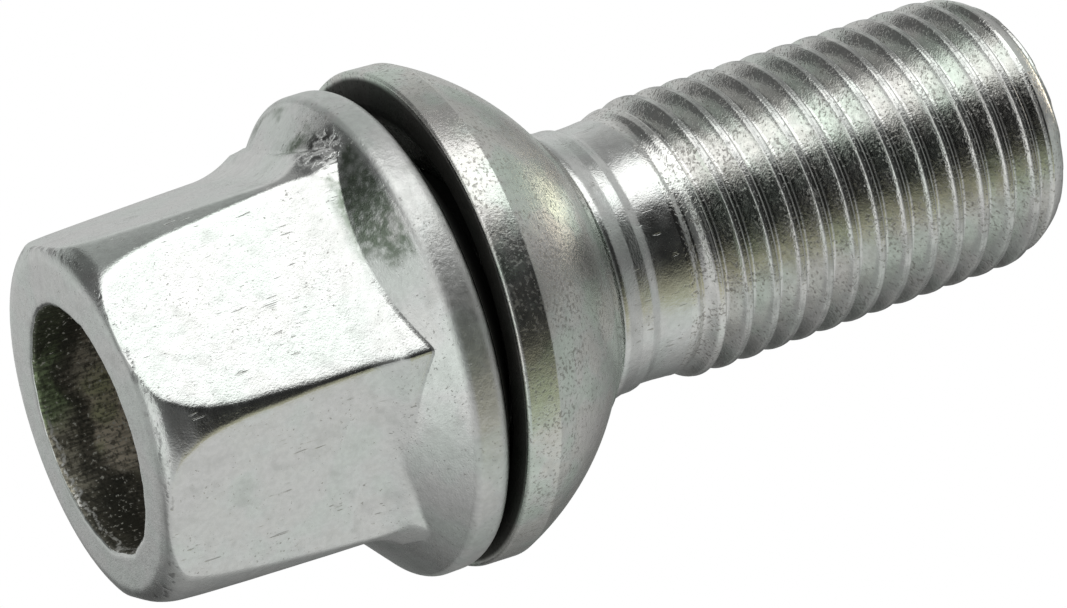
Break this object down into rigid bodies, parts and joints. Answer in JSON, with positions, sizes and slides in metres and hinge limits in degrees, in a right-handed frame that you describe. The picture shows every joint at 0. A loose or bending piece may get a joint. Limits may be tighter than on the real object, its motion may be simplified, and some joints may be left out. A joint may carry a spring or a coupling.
{
  "type": "wheel bolt",
  "caption": "Wheel bolt with a hollow hexagon head, a conical flange, a loose collar with a ball seat and a threaded shank.",
  "frame": {"origin": "on the bolt's axis, in the plane of the head's end face, on which the bolt stands", "axes": "+Z along the axis from the head to the thread's tip, +X through the middle of two flats of the hexagon, Y through two of its corners"},
  "size_m": [0.024, 0.024, 0.0497],
  "materials": {
    "bolt_plate": "forged steel, zinc plated and passivated, fine grain with small pits and scratches",
    "collar_plate": "turned steel, zinc plated and passivated, smoother, with a faint green and pink sheen"
  },
  "bodies": {
    "bolt": {"bolt": "bolt_plate"},
    "collar": {"seat_collar": "collar_plate"}
  },
  "joints": [
    {"name": "collar_spin", "type": "hinge", "parent": "bolt", "child": "collar", "pos_m": [0, 0, 0.0205], "axis": [0, 0, 1], "continuous": true}
  ]
}
